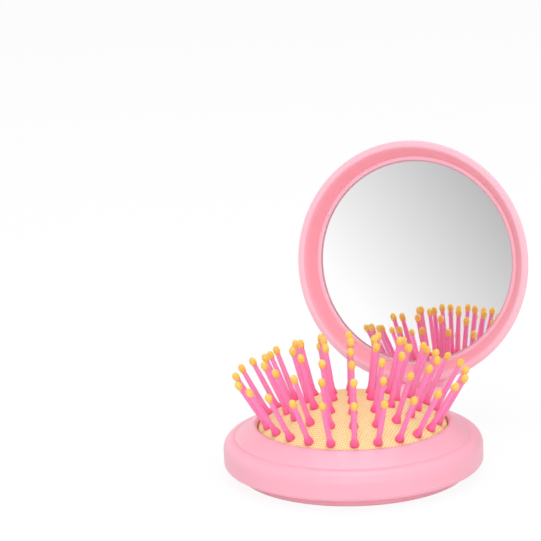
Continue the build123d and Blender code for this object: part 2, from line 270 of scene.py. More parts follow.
def paperSweep():
    # matt paper that glows a little where it is looked at, so that it is as white as the backdrop
    material, tree, shader = newMaterial("paperSweep")
    path = addNode(tree, "LightPath")
    paper = addNode(tree, "MixRGB", {
        "Fac": path.outputs["Is Camera Ray"], "Color1": linear(studio["floorBounce"]),
        "Color2": linear(studio["floorColour"])})
    setInputs(tree, shader, {"Base Color": paper, "Roughness": studio["floorRoughness"]})
    glow = addNode(tree, "Emission", {"Color": linear(studio["backdropColour"]), "Strength": 1.0})
    seen = addNode(tree, "Math", {
        0: path.outputs["Is Camera Ray"], 1: path.outputs["Is Glossy Ray"]}, operation="MAXIMUM")
    share = addNode(tree, "Math", {0: seen, 1: studio["floorGlow"]}, operation="MULTIPLY")
    mixed = addNode(tree, "MixShader", {0: share, 1: shader, 2: glow})
    output = next(node for node in tree.nodes if node.type == "OUTPUT_MATERIAL")
    setInputs(tree, output, {"Surface": mixed})
    return material


def addFloor():
    reach = studio["floorReach"]
    mesh = bmesh.new()
    corners = ((-1, -1), (1, -1), (1, 1), (-1, 1))
    mesh.faces.new([mesh.verts.new((x * reach, y * reach, 0)) for x, y in corners])
    data = bpy.data.meshes.new("studioFloor")
    mesh.to_mesh(data)
    mesh.free()
    floor = bpy.data.objects.new("studioFloor", data)
    bpy.context.scene.collection.objects.link(floor)
    data.materials.append(paperSweep())


addCamera()
addWorld()
addLamps()
addFloor()
print("camera, lamps and floor are set")


# Shells: moulded ABS, spark-textured in the mould, so light spreads softly and its bumps are fine.
shells = {
    "outer": {"colour": "#FFB6C8", "deepColour": "#FFB2C4", "roughness": 0.36},
    "foot": {"colour": "#FFB5C7", "deepColour": "#FDB0C3", "roughness": 0.42},
    "clampRing": {"colour": "#F2EFEC", "deepColour": "#EDE9E6", "roughness": 0.5},
    "ior": 1.54,
    "grainSize": 0.25,      # mm; the real spark texture is near 0.05 mm, too fine to show
    "grainDepth": 0.004,    # mm
    "flowSize": 14.0,       # mm, the soft colour drift of moulded pigment
    "flowRange": (0.3, 0.75),
    "translucency": 0.12,
    "lightReach": 2.0,      # mm that light goes into the plastic
    "lightShares": (1.0, 0.35, 0.45),
}


def mouldedAbs(name, finish):
    # gives the material, its node tree, its shader and the node that colours it
    material, tree, shader = newMaterial(name)
    colour = mottled(
        tree, shells["flowSize"], 2.0, shells["flowRange"], (finish["colour"], finish["deepColour"]))
    setInputs(tree, shader, {
        "Base Color": colour, "Normal": grained(tree, shells["grainSize"], 3.0, shells["grainDepth"]),
        "Roughness": finish["roughness"], "IOR": shells["ior"], **translucent(shells)})
    return material, tree, shader, colour


def paintNode(node, material):
    # a CAD node keeps its shape and takes one material
    data = nodes[node].data
    data.materials.clear()
    data.materials.append(material)


shellPlastic = mouldedAbs("shellMouldedAbs", shells["outer"])[0]
for name in ("base_lower_shell", "push_button"):
    paintNode(name, shellPlastic)
paintNode("foot_ring", mouldedAbs("footMouldedAbs", shells["foot"])[0])
paintNode("pad_clamp_ring", mouldedAbs("innerMouldedAbs", shells["clampRing"])[0])


# Top ring: pressed in so tightly that its joint with the shell's rim hardly shows. In mm.
topRing = {
    "lipRadius": 26.5,
    "lipHeight": 13.9,
    "lipRound": 0.7,
    "landRadius": 27.4,
    "landRound": 0.5,
    "landBends": (1.0, 0.6, 0.3, 0.0, -0.5, -1.0),  # steps over the soft bend, in shares of landRound
    "tubeRadius": 28.2,
    "tubeFoot": 6.9,
    "roofHeight": 11.6,
    "spigotInner": 30.55,
    "spigotOuter": 31.75,
    "spigotFoot": 7.7,
    "seat": 9.15,
    "rimRadius": 32.7,      # where the shell's rim begins to round inwards
    "rimHeight": 10.2,
    "rimRound": 0.3,
    "joint": 0.012,
    "sides": 160,
}


def arcPoints(middle, radius, start, end, count):
    angles = [math.radians(start + (end - start) * i / count) for i in range(count + 1)]
    return [(middle[0] + radius * math.cos(a), middle[1] + radius * math.sin(a)) for a in angles]


def addTopRing():
    lip, high, soft = topRing["lipRadius"], topRing["lipHeight"], topRing["lipRound"]
    tube, low, seat = topRing["tubeRadius"], topRing["tubeFoot"], topRing["seat"]
    inner, outer, foot = topRing["spigotInner"], topRing["spigotOuter"], topRing["spigotFoot"]
    profile = [(lip, low), (tube, low), (tube, topRing["roofHeight"]), (inner, seat), (inner, foot),
               (outer, foot), (outer, seat)]
    # round the shell's rim
    rim = (topRing["rimRadius"], topRing["rimHeight"])
    edge = arcPoints(rim, topRing["rimRound"] + topRing["joint"], 180, 93, 6)
    profile += [(edge[0][0], seat)] + edge
    # up the slope, over a soft bend and round the lip
    drop = (high - edge[-1][1]) / (edge[-1][0] - topRing["landRadius"])
    bend = topRing["landRound"]
    for share in topRing["landBends"]:
        lift = (share + 1) ** 2 / 4 * bend * drop
        profile.append((topRing["landRadius"] + bend * share, high - lift))
    profile += arcPoints((lip + soft, high - soft), soft, 90, 180, 8) + [(lip, low)]
    piece = turnedPiece("topRing", profile, Matrix.Identity(4), topRing["sides"], "base", shellPlastic,
                        creaseAngle=50)
    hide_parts("base_top_ring")


addTopRing()
print("shells are finished")


# Hinge pin: drawn stainless steel, cut ends, so it shines in fine lines along its length.
pin = {
    "colour": "#C9CCD0",
    "roughness": (0.2, 0.38),
    "lineSize": 0.12,       # mm; real ones are near 0.02 mm, too fine to show
    "lineLength": 25,       # times its width
}


def drawnSteel():
    material, tree, shader = newMaterial("pinDrawnSteel")
    place = addNode(tree, "TexCoord").outputs["Object"]
    stretch = addNode(tree, "Mapping", {"Vector": place, "Scale": (1 / pin["lineLength"], 1.0, 1.0)})
    lines = addNode(tree, "TexNoise", {
        "Vector": stretch, "Scale": 1 / (pin["lineSize"] * mm), "Detail": 2.0})
    least, most = pin["roughness"]
    rough = addNode(tree, "MapRange", {"Value": lines, "To Min": least, "To Max": most})
    setInputs(tree, shader, {"Base Color": linear(pin["colour"]), "Metallic": 1.0, "Roughness": rough})
    return material


paintNode("hinge_pin", drawnSteel())
print("pin is finished")


# Lid: its own frame has x to the right and y towards the hinge, seen from outside, with heights
# growing outwards from the plane of its rim.
lidFrame = {
    "origin": (0, 49.479, 48.211),
    "right": (1, 0, 0),
    "towardsHinge": (0, -0.13917, -0.99027),
    "outward": (0, 0.99027, -0.13917),
}


def lidMatrix():
    axes = [Vector(lidFrame[key]) for key in ("right", "towardsHinge", "outward")]
    turn = Matrix(axes).transposed().to_4x4()
    return Matrix.Translation(Vector(lidFrame["origin"]) * mm) @ turn


lid = lidMatrix()

# The lid is of the shells' plastic, but its bowl is painted deeper, painted shade for the light that
# crosses the hollow more than once, and the rim that meets the base is painted paler, a painted
# highlight.
lidPaintedLight = {
    # painted highlight along the rim that meets the base
    "rimHighlightColour": "#FFC5D3",
    "rimHighlightDepth": 0.5,        # mm
    # painted shade inside the bowl
    "colour": "#FFA2B2",
    "radius": 34.9,         # mm at the rim, half-way through the wall between bowl and side
    "slope": 0.62,          # how much that radius shrinks for each mm of height
    "soft": 0.3,            # mm
    "depth": (0.1, 1.5),    # mm from the rim, from the first of the deeper colour to the whole of it
}


def lidPlastic():
    material, tree, shader, colour = mouldedAbs("lidMouldedAbs", shells["outer"])
    place = addNode(tree, "TexCoord").outputs["Object"]
    outward = lidFrame["outward"]
    # height above the rim's plane and distance from the lid's axis
    local = addNode(tree, "VectorMath", {
        0: place, 1: Vector(lidFrame["origin"]) * mm}, operation="SUBTRACT")
    height = addNode(tree, "VectorMath", {
        0: local, 1: outward}, operation="DOT_PRODUCT").outputs["Value"]
    alongAxis = addNode(tree, "VectorMath", {0: outward, "Scale": height}, operation="SCALE")
    flat = addNode(tree, "VectorMath", {0: local, 1: alongAxis}, operation="SUBTRACT")
    radius = addNode(tree, "VectorMath", {0: flat}, operation="LENGTH")
    sloped = addNode(tree, "Math", {
        0: height, 1: lidPaintedLight["slope"], 2: radius.outputs["Value"]}, operation="MULTIPLY_ADD")
    # how far each point is inside the bowl, below its rim and on the rim: the bowl takes painted shade
    # and the rim a painted highlight
    inside = addNode(tree, "MapRange", {
        "Value": sloped, "From Min": lidPaintedLight["radius"] * mm,
        "From Max": (lidPaintedLight["radius"] - lidPaintedLight["soft"]) * mm})
    deep = addNode(tree, "MapRange", {
        "Value": height, "From Min": lidPaintedLight["depth"][0] * mm, "From Max": lidPaintedLight["depth"][1] * mm})
    share = addNode(tree, "Math", {0: inside, 1: deep}, operation="MULTIPLY")
    # the rim's painted highlight
    rim = addNode(tree, "MapRange", {
        "Value": height, "From Min": lidPaintedLight["rimHighlightDepth"] * mm, "From Max": 0.0})
    rimHighlighted = addNode(tree, "MixRGB", {
        "Fac": rim, "Color1": colour, "Color2": linear(lidPaintedLight["rimHighlightColour"])})
    mixed = addNode(tree, "MixRGB", {
        "Fac": share, "Color1": rimHighlighted, "Color2": linear(lidPaintedLight["colour"])})
    setInputs(tree, shader, {"Base Color": mixed})
    return material


paintNode("lid_shell", lidPlastic())
print("lid is finished")


# Mirror: silvered glass, almost clean, with a breath of dust that softens it a little. Its edge is
# ground matt, and its colour holds a painted reflection of the pink round it, so it shows as a fine
# soft line inside the trim.
mirror = {
    "colour": "#FEFEFE",
    "roughness": 0.015,
    "dustRoughness": 0.045,
    "dustSize": 9.0,        # mm
    "dustRange": (0.4, 0.9),
    "edgeReflectionTint": "#DDB4BF",
    "edgePaleReflectionTint": "#E9C6CF",
    "edgeRoughness": 0.5,
    "scratchSize": 0.3,     # mm; real grit leaves lines near 0.05 mm, too fine to show
    "scratchRange": (0.3, 0.8),
    "ior": 1.52,
    "front": 4.95,          # mm, heights in the lid's frame
    "back": 6.15,
    "faceRadius": 29.75,
    "groundRadius": 30.15,
    "groundDepth": 0.2,
    "radius": 30.8,
    "sides": 160,
}


def silveredGlass():
    material, tree, shader = newMaterial("mirrorSilveredGlass")
    dust = patterned(tree, "TexNoise", mirror["dustSize"], {"Detail": 6.0})
    clean, dusty = mirror["dustRange"]
    haze = addNode(tree, "MapRange", {
        "Value": dust, "From Min": clean, "From Max": dusty,
        "To Min": mirror["roughness"], "To Max": mirror["dustRoughness"]})
    setInputs(tree, shader, {
        "Base Color": linear(mirror["colour"]), "Metallic": 1.0, "Roughness": haze})
    return material


def groundGlass():
    material, tree, shader = newMaterial("mirrorGroundGlass")
    # the ground edge's own grey with a painted reflection of the pink trim round it, mottled by grit
    # lines
    colour = mottled(tree, mirror["scratchSize"], 3.0, mirror["scratchRange"],
                     (mirror["edgeReflectionTint"], mirror["edgePaleReflectionTint"]))
    setInputs(tree, shader, {
        "Base Color": colour, "Roughness": mirror["edgeRoughness"], "IOR": mirror["ior"]})
    return material


def addMirror():
    front, back, face = mirror["front"], mirror["back"], mirror["faceRadius"]
    low, radius, sides = front + mirror["groundDepth"], mirror["radius"], mirror["sides"]
    middle = [(0, front), (face, front), (face, back), (0, back)]
    glass = turnedPiece("mirrorFace", middle, lid, sides, "lid", silveredGlass())
    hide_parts("mirror_glass")
    edge = [(face, front), (mirror["groundRadius"], low), (radius, low), (radius, back), (face, back),
            (face, front)]
    turnedPiece("mirrorGroundEdge", edge, lid, sides, "lid", groundGlass())


addMirror()


# Trim: moulded ring pressed in over the glass, its front edge softly rounded so that it catches light.
trim = {
    "colour": "#FFC2D2",
    "deepColour": "#FFBCCD",
    "roughness": 0.3,
    "inner": 30.2,          # mm
    "outer": 31.29,
    "front": 4.28,
    "back": 4.9,
    "rounding": ((0, 0.28), (0.05, 0.12), (0.2, 0.03), (0.5, 0)),  # out from the inner edge, down
    "outerDrop": 0.01,
    "sides": 160,
}


def addTrim():
    inner, outer, front, back = trim["inner"], trim["outer"], trim["front"], trim["back"]
    profile = [(inner, back)] + [(inner + away, front + down) for away, down in trim["rounding"]]
    profile += [(outer, front + trim["outerDrop"]), (outer, back), (inner, back)]
    plastic = mouldedAbs("trimMouldedAbs", trim)[0]
    piece = turnedPiece("mirrorTrim", profile, lid, trim["sides"], "lid", plastic)
    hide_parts("mirror_bezel")


addTrim()


# Tape: closed-cell polyethylene foam, matt, pitted with small round cells.
tape = {
    "colour": "#F3F1EC",
    "roughness": 0.85,
    "cellSize": 0.4,        # mm
    "cellDepth": 0.05,      # mm
}


def foamTape():
    material, tree, shader = newMaterial("tapePolyethyleneFoam")
    cells = patterned(tree, "TexVoronoi", tape["cellSize"])
    bump = addNode(tree, "Bump", {"Height": cells, "Distance": tape["cellDepth"] * mm})
    setInputs(tree, shader, {
        "Base Color": linear(tape["colour"]), "Normal": bump, "Roughness": tape["roughness"]})
    return material


paintNode("mirror_tape", foamTape())
print("mirror, trim and tape are finished")


# Pad: soft natural rubber moulded on a fabric face, so it shows a fine square weave. Sizes in mm.
pad = {
    "domeRadius": 46.0,
    "apex": 21.2,
    "edgeRadius": 25.7,
    "thickness": 1.6,
    "layerGap": 0.02,       # between the dome and its lining
    "shoulder": ((25.92, 13.14), (26.1, 12.86), (26.2, 12.55)),  # from the dome over to the skirt
    "skirtWall": 1.2,
    "skirtTop": 12.65,
    "flangeRadius": 29.6,
    "flangeFoot": 5.5,
    "flangeTop": 6.8,
    "sides": 120,
    "domeSteps": 22,        # rings from the middle of the dome to its edge
    "skirtSteps": 14,
    "ior": 1.52,
    "face": {
        "colour": "#FDF1BC", "threadColour": "#EFC97E", "roughness": 0.7,
        "threadSpacing": 0.7, "threadDepth": 0.06, "threadRange": (0.25, 0.75),
        "speckSize": 0.9, "speckShare": 0.5,
    },
    "plain": {
        "colour": "#F5DC9C", "bloomColour": "#F9E5AC", "roughness": 0.55,
        "bloomSize": 5.0, "bloomDepth": 0.03, "bloomRange": (0.3, 0.7),
    },
}


def wovenRubber():
    face = pad["face"]
    material, tree, shader = newMaterial("padRubberWovenFace")
    place = addNode(tree, "TexCoord").outputs["Object"]
    split = addNode(tree, "SeparateXYZ", {"Vector": place})
    threads = []
    for axis in ("X", "Y"):
        turns = addNode(tree, "Math", {
            0: split.outputs[axis], 1: 2 * math.pi / (face["threadSpacing"] * mm)},
            operation="MULTIPLY")
        wave = addNode(tree, "Math", {0: turns}, operation="SINE")
        threads.append(addNode(tree, "Math", {0: wave, 1: 0.5, 2: 0.5}, operation="MULTIPLY_ADD"))
    height = addNode(tree, "Math", {0: threads[0], 1: threads[1]}, operation="MINIMUM")
    speck = patterned(tree, "TexNoise", face["speckSize"], {"Detail": 2.0})
    tint = addNode(tree, "Math", {
        0: speck, 1: face["speckShare"], 2: height}, operation="MULTIPLY_ADD")
    ramp = addNode(tree, "ValToRGB", {"Fac": tint})
    setRamp(ramp, face["threadRange"], (face["threadColour"], face["colour"]))
    bump = addNode(tree, "Bump", {"Height": height, "Distance": face["threadDepth"] * mm})
    setInputs(tree, shader, {
        "Base Color": ramp, "Normal": bump, "Roughness": face["roughness"], "IOR": pad["ior"]})
    return material


def plainRubber():
    # where no fabric was laid in the mould: smooth, with a faint bloom of wax
    plain = pad["plain"]
    material, tree, shader = newMaterial("padPlainRubber")
    colours = (plain["colour"], plain["bloomColour"])
    setInputs(tree, shader, {
        "Base Color": mottled(tree, plain["bloomSize"], 4.0, plain["bloomRange"], colours),
        "Normal": grained(tree, plain["bloomSize"], 4.0, plain["bloomDepth"]),
        "Roughness": plain["roughness"], "IOR": pad["ior"]})
    return material


def domeHeight(radius, depth=0.0):
    # height of the pad's face, or of a face that lies deeper
    return pad["apex"] - pad["domeRadius"] + math.sqrt((pad["domeRadius"] - depth) ** 2 - radius ** 2)


def domeLayer(edge, depth):
    # a face of the dome that lies deeper, from the middle out to an edge
    radii = [edge * i / pad["domeSteps"] for i in range(pad["domeSteps"] + 1)]
    return [(radius, domeHeight(radius, depth)) for radius in radii]


def addPad(woven, plain):
    # the dome is two layers, so that it keeps its thickness where it lies flat in the shut brush
    shoulder = list(pad["shoulder"])
    skirtRadius = shoulder[-1][0]
    innerEdge = skirtRadius - pad["skirtWall"]
    middleEdge = (skirtRadius + innerEdge) / 2
    split, gap = pad["thickness"] / 2, pad["layerGap"] / 2
    here, sides = Matrix.Identity(4), pad["sides"]
    profile = domeLayer(pad["edgeRadius"], 0.0) + shoulder + domeLayer(middleEdge, split - gap)[::-1]
    dome = turnedPiece("padDome", profile, here, sides, "pad", woven, creaseAngle=60)
    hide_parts("brush_pad")
    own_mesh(dome)
    profile = domeLayer(middleEdge, split + gap) + domeLayer(innerEdge, pad["thickness"])[::-1]
    lining = turnedPiece("padLining", profile, here, sides, "pad", plain, creaseAngle=60)
    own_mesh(lining)

    # the skirt runs between the flange, which the base holds, and the dome's edge
    flange, foot, low = pad["flangeRadius"], pad["flangeFoot"], pad["flangeTop"]
    steps = pad["skirtSteps"]
    heights = [low + (pad["skirtTop"] - low) * i / steps for i in range(steps + 1)]
    profile = [(flange, foot), (flange, low)] + [(skirtRadius, height) for height in heights]
    profile += [(innerEdge, height) for height in reversed(heights)]
    profile += [(innerEdge, foot), (flange, foot)]
    skirt = turnedPiece("padSkirt", profile, here, sides, None, plain)
    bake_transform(skirt)


addPad(wovenRubber(), plainRubber())
print("pad is built")


# Bristles: injection-moulded nylon, a little translucent, with tips dipped in glossy epoxy that
# gathers in beads.
bristles = {
    "rings": ((24.0, 24), (18.0, 18), (12.0, 12), (6.0, 6)),  # (radius in mm, count), outer to inner
    "lineUp": 22.5,         # degrees from the front to the bristles that all the rings line up on
    "foldsWith": 7.5,       # degrees within which a bristle of the second ring folds with the first
    "length": 15.3,         # mm from the foot to the middle of the ball tip
    "footRadius": 1.3,
    "shaftRadius": 0.76,
    "neckRadius": 0.66,
    "tipRadius": 1.0,
    "tipLength": 2.5,
    "tipAbove": 0.42,       # share of the tip's length that stands above the shaft's end
    # outlines: shares of the radii above, with mm above the root, below the end, above the tip's foot
    "footShape": ((0.7, -0.12), (1.0, 0.03), (1.0, 0.45), (0.93, 0.9), (0.78, 1.4), (0.64, 2.0)),
    "shaftShape": ((1.08, 2.6), (1.0, 3.5), (1.0, 6.0), (0.97, 9.0)),
    "neckShape": ((1.0, 1.6), (1.0, 0.9), (0.8, 0.2)),
    "tipShape": ((0.84, 0.4), (0.98, 0.9), (1.0, 1.25), (0.93, 1.7), (0.7, 2.15), (0.36, 2.42)),
    "rootDepth": 0.15,      # mm below the pad's face
    "lean": 0.45,           # mm at the tip, seeded
    "bend": 1.6,            # power by which the lean grows with height
    "sides": 14,
    "nylon": {
        # the root colour: painted shade where the bristles crowd over the pad, with the deeper colour
        # of the thick foot
        "colour": "#FF90C6", "rootShadeAndDepthColour": "#FF5F9C", "rootRange": (0.08, 0.3), "roughness": 0.34,
        "ior": 1.53,
        "toneSize": 3.0, "toneShare": 0.12,     # sizes in mm
        "grainSize": 0.3, "grainDepth": 0.01,   # the mould's real grain is near 0.05, too fine to show
        "translucency": 0.35, "lightReach": 1.0, "lightShares": (1.0, 0.3, 0.6),
    },
    "epoxy": {
        "colour": "#FFD568", "deepColour": "#FBC455", "roughness": 0.16, "ior": 1.55,
        "toneSize": 2.0, "toneRange": (0.3, 0.7),
        "translucency": 0.2, "lightReach": 0.8, "lightShares": (1.0, 0.7, 0.2),
    },
}


def mouldedNylon():
    nylon = bristles["nylon"]
    material, tree, shader = newMaterial("bristleMouldedNylon")
    # darker towards the feet: painted shade where the bristles crowd over the pad, and the thick foot
    # swallows more light than the thin shaft
    rise = addNode(tree, "Attribute", attribute_name="rise")
    tone = patterned(tree, "TexNoise", nylon["toneSize"], {"Detail": 2.0})
    level = addNode(tree, "Math", {
        0: tone, 1: nylon["toneShare"], 2: rise.outputs["Fac"]}, operation="MULTIPLY_ADD")
    ramp = addNode(tree, "ValToRGB", {"Fac": level})
    setRamp(ramp, nylon["rootRange"], (nylon["rootShadeAndDepthColour"], nylon["colour"]))
    setInputs(tree, shader, {
        "Base Color": ramp, "Normal": grained(tree, nylon["grainSize"], 2.0, nylon["grainDepth"]),
        "Roughness": nylon["roughness"], "IOR": nylon["ior"], **translucent(nylon)})
    return material


def dippedEpoxy():
    epoxy = bristles["epoxy"]
    material, tree, shader = newMaterial("tipDippedEpoxy")
    colours = (epoxy["deepColour"], epoxy["colour"])
    setInputs(tree, shader, {
        "Base Color": mottled(tree, epoxy["toneSize"], 1.0, epoxy["toneRange"], colours),
        "Roughness": epoxy["roughness"], "IOR": epoxy["ior"], **translucent(epoxy)})
    return material


def bristleProfiles():
    # the lines of (radius, height) in mm that the moulded stem and the dipped tip are turned from
    length, neck, tip = bristles["length"], bristles["neckRadius"], bristles["tipRadius"]
    stem = [(0, -bristles["rootDepth"])]
    stem += [(bristles["footRadius"] * share, height) for share, height in bristles["footShape"]]
    stem += [(bristles["shaftRadius"] * share, height) for share, height in bristles["shaftShape"]]
    stem += [(neck * share, length - below) for share, below in bristles["neckShape"]]
    top = length + bristles["tipLength"] * bristles["tipAbove"]
    low = top - bristles["tipLength"]
    bead = [(0, low - 0.02), (neck + 0.06, low)]  # closes round the neck
    bead += [(tip * share, low + height) for share, height in bristles["tipShape"]]
    return stem + [(0, length)], bead + [(0, top)]


def bristleGroups():
    # the (radius, azimuth) of the bristles of each node, which fold together
    outer, second, third, inner = (
        [(radius, number * 360 / count) for number in range(count)]
        for radius, count in bristles["rings"])
    groups = {}
    for number, spot in enumerate(outer, 1):
        near = [other for other in second if abs(other[1] - spot[1]) < bristles["foldsWith"]]
        groups[f"outer_bristles_{number:02d}"] = [spot] + near
    for number, spot in enumerate(third, 1):
        groups[f"middle_bristle_{number:02d}"] = [spot]
    groups["centre_bristles"] = [(0, 0)] + inner
    return groups


def bristlePlace(radius, azimuth):
    # a matrix with its origin at a bristle's foot on the dome and its z axis along the bristle
    turn = math.radians(azimuth)
    outward = Vector((math.sin(turn), -math.cos(turn), 0))
    foot = outward * radius + up * domeHeight(radius)
    normal = (foot - up * (pad["apex"] - pad["domeRadius"])).normalized()
    return Matrix.Translation(foot * mm) @ normal.to_track_quat("Z", "Y").to_matrix().to_4x4()


def bendBy(mesh, rise, start, place, lean):
    # leans the vertices made after a count, more towards the tip, and notes how far up each one is
    mesh.verts.ensure_lookup_table()
    back = place.inverted()
    for vertex in mesh.verts[start:]:
        local = back @ vertex.co
        vertex[rise] = max(local.z / (bristles["length"] * mm), 0)
        vertex.co = place @ (local + lean * vertex[rise] ** bristles["bend"])


def addBristles():
    nylon, epoxy = mouldedNylon(), dippedEpoxy()
    profiles = bristleProfiles()
    chance = random.Random(7)
    for node, places in bristleGroups().items():
        body = "button" if node == "centre_bristles" else node
        shafts, tips = bmesh.new(), bmesh.new()
        rises = [mesh.verts.layers.float.new("rise") for mesh in (shafts, tips)]
        for radius, azimuth in places:
            place = bristlePlace(radius, azimuth + bristles["lineUp"])
            reach = bristles["lean"] * mm * chance.random()
            way = chance.uniform(0, 2 * math.pi)
            lean = Vector((reach * math.cos(way), reach * math.sin(way), 0))
            for mesh, rise, profile in zip((shafts, tips), rises, profiles):
                start = len(mesh.verts)
                addTurned(mesh, profile, place, bristles["sides"])
                bendBy(mesh, rise, start, place, lean)
        piece = addPiece(f"{node}_shafts", shafts, body, nylon, creaseAngle=75)
        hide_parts(node)
        addPiece(f"{node}_tips", tips, body, epoxy, creaseAngle=75)


addBristles()
print("bristles are built")


# Panel: polyester glitter film, whose flakes are cut metallised foil at all tilts, so each one
# catches another light.
panel = {
    "flakeSize": 0.6,       # mm; real flakes are near 0.2 mm, too fine to show
    "tilt": 0.5,
    "bareShare": 0.5,       # of the flakes whose clear coat looks white
    "roughness": 0.22,
    "foil": ("#FFFFFF", "#F8F3FB", "#FBE3EF", "#FFFFFF", "#E2F6F0", "#FBF4DA", "#F1F0F5", "#E3EBFA"),
}


def glitterFilm():
    material, tree, shader = newMaterial("panelGlitterFilm")
    flakes = patterned(tree, "TexVoronoi", panel["flakeSize"]).outputs["Color"]
    tone = addNode(tree, "SeparateColor", {"Color": flakes})
    ramp = addNode(tree, "ValToRGB", {"Fac": tone.outputs["Red"]})
    ramp.color_ramp.interpolation = "CONSTANT"
    count = len(panel["foil"])
    setRamp(ramp, [i / count for i in range(count)], panel["foil"])
    metal = addNode(tree, "Math", {
        0: tone.outputs["Green"], 1: panel["bareShare"]}, operation="GREATER_THAN")
    # each flake's colour also gives its tilt
    normal = addNode(tree, "NewGeometry").outputs["Normal"]
    tilt = addNode(tree, "VectorMath", {0: flakes, 1: (0.5, 0.5, 0.5)}, operation="SUBTRACT")
    small = addNode(tree, "VectorMath", {0: tilt, "Scale": panel["tilt"]}, operation="SCALE")
    leant = addNode(tree, "VectorMath", {0: normal, 1: small}, operation="ADD")
    tilted = addNode(tree, "VectorMath", {0: leant}, operation="NORMALIZE")
    setInputs(tree, shader, {
        "Base Color": ramp, "Metallic": metal, "Normal": tilted, "Roughness": panel["roughness"]})
    return material


paintNode("decorated_panel", glitterFilm())
print("panel is finished")


# Stones: foil-backed acrylic, cut in facets, with painted light: each facet is painted dark and light
# by turns for the light the foil throws back.
stones = {
    # painted shade, painted highlight and the table's colour; the rim and the facets are painted
    # between the first two
    "kinds": {
        "violet_stones": {"colours": ("#66409F", "#C9A9EC", "#A08BC4"), "slot": "stone_violet"},
        "pink_stones": {"colours": ("#D2638F", "#FAC4D8", "#E3A3B6"), "slot": "stone_pink"},
    },
    "tableShare": 0.5,      # shares of the radius
    "shoulderShare": 0.78,
    "rimHeight": 0.12,      # shares of the height
    "shoulderHeight": 0.68,
    "facets": 8,
    # how much painted light each kind of facet takes, from the shaded colour at 0 to the lit colour at
    # 1
    "paintedFacetLight": {"foot": 0.0, "star": 0.7, "kite": 0.8, "left": 0.25, "right": 0.3, "rim": 0.05},
    "sparkle": 0.25,        # how far a facet's brightness may stray, seeded
    "metallic": 0.55,
    "roughness": 0.12,
    "coatRoughness": 0.03,
}


def foiledAcrylic(name):
    material, tree, shader = newMaterial(name)
    tone = addNode(tree, "Attribute", attribute_name="paintedFacetTone")
    setInputs(tree, shader, {
        "Base Color": tone, "Metallic": stones["metallic"], "Roughness": stones["roughness"],
        "Coat Weight": 1.0, "Coat Roughness": stones["coatRoughness"]})
    return material


def looseParts(node):
    # (x, y, z of the foot, radius, z of the top) of every stone of a CAD node, in the lid's frame
    mesh = bmesh.new()
    mesh.from_mesh(nodes[node].data)
    bmesh.ops.remove_doubles(mesh, verts=mesh.verts, dist=0.01 * mm)
    left, found = set(mesh.verts), []
    back = lid.inverted()
    while left:
        group, edge = set(), [left.pop()]
        while edge:
            vertex = edge.pop()
            group.add(vertex)
            for link in vertex.link_edges:
                other = link.other_vert(vertex)
                if other in left:
                    left.remove(other)
                    edge.append(other)
        flat = [back @ vertex.co for vertex in group]
        middle = Vector([(min(p[i] for p in flat) + max(p[i] for p in flat)) / 2 for i in (0, 1)])
        radius = max((p.xy - middle).length for p in flat)
        found.append((*middle, min(p.z for p in flat), radius, max(p.z for p in flat)))
    mesh.free()
    return sorted(found)


def addStone(mesh, tones, stone, turn, chance, colours):
    # painted light: the rim is painted in shade, the facets are painted dark and light by turns for
    # the light the foil throws back, and the table takes its own colour as it looks down into the
    # stone
    paintedShade, light, flat = colours
    x, y, z, radius, high = stone
    count, paintedFacetLight = stones["facets"], stones["paintedFacetLight"]

    def shade(face, colour):
        for loop in face.loops:
            loop[tones] = colour

    def ring(share, level, corners, offset):
        angles = [turn + (i + offset) * 2 * math.pi / corners for i in range(corners)]
        return [mesh.verts.new(lid @ Vector((
            x + share * radius * math.cos(angle), y + share * radius * math.sin(angle),
            z + level * (high - z)))) for angle in angles]

    foot = ring(1.0, 0.0, 2 * count, 0)
    rim = ring(1.0, stones["rimHeight"], 2 * count, 0)
    middle = ring(stones["shoulderShare"], stones["shoulderHeight"], count, 0.5)
    table = ring(stones["tableShare"], 1.0, count, 0)
    shade(mesh.faces.new(table), flat)
    facets = [(foot[::-1], "foot")]
    for i in range(count):
        j = (i + 1) % count
        facets += [((table[i], middle[i], table[j]), "star"),
                   ((table[j], middle[i], rim[2 * j], middle[j]), "kite"),
                   ((middle[i], rim[2 * i + 1], rim[2 * j]), "left"),
                   ((middle[i], rim[2 * i], rim[2 * i + 1]), "right")]
    for i in range(2 * count):
        j = (i + 1) % (2 * count)
        facets.append(((foot[i], foot[j], rim[j], rim[i]), "rim"))
    for corners, kind in facets:
        stray = chance.uniform(-stones["sparkle"], stones["sparkle"])
        share = min(max(paintedFacetLight[kind] + stray, 0), 1)
        shade(mesh.faces.new(corners), [d + (l - d) * share for d, l in zip(paintedShade, light)])


def addStones():
    chance = random.Random(5)
    for node, kind in stones["kinds"].items():
        colours = [linear(hexCode) for hexCode in kind["colours"]]
        mesh = bmesh.new()
        tones = mesh.loops.layers.float_color.new("paintedFacetTone")
        for stone in looseParts(node):
            addStone(mesh, tones, stone, chance.uniform(0, math.pi), chance, colours)
        acrylic = foiledAcrylic(node.split("_")[0] + "FoiledAcrylic")
        piece = addPiece(f"{node}_cut", mesh, "lid", acrylic, smooth=False)
        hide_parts(node)


addStones()
print("stones are set")


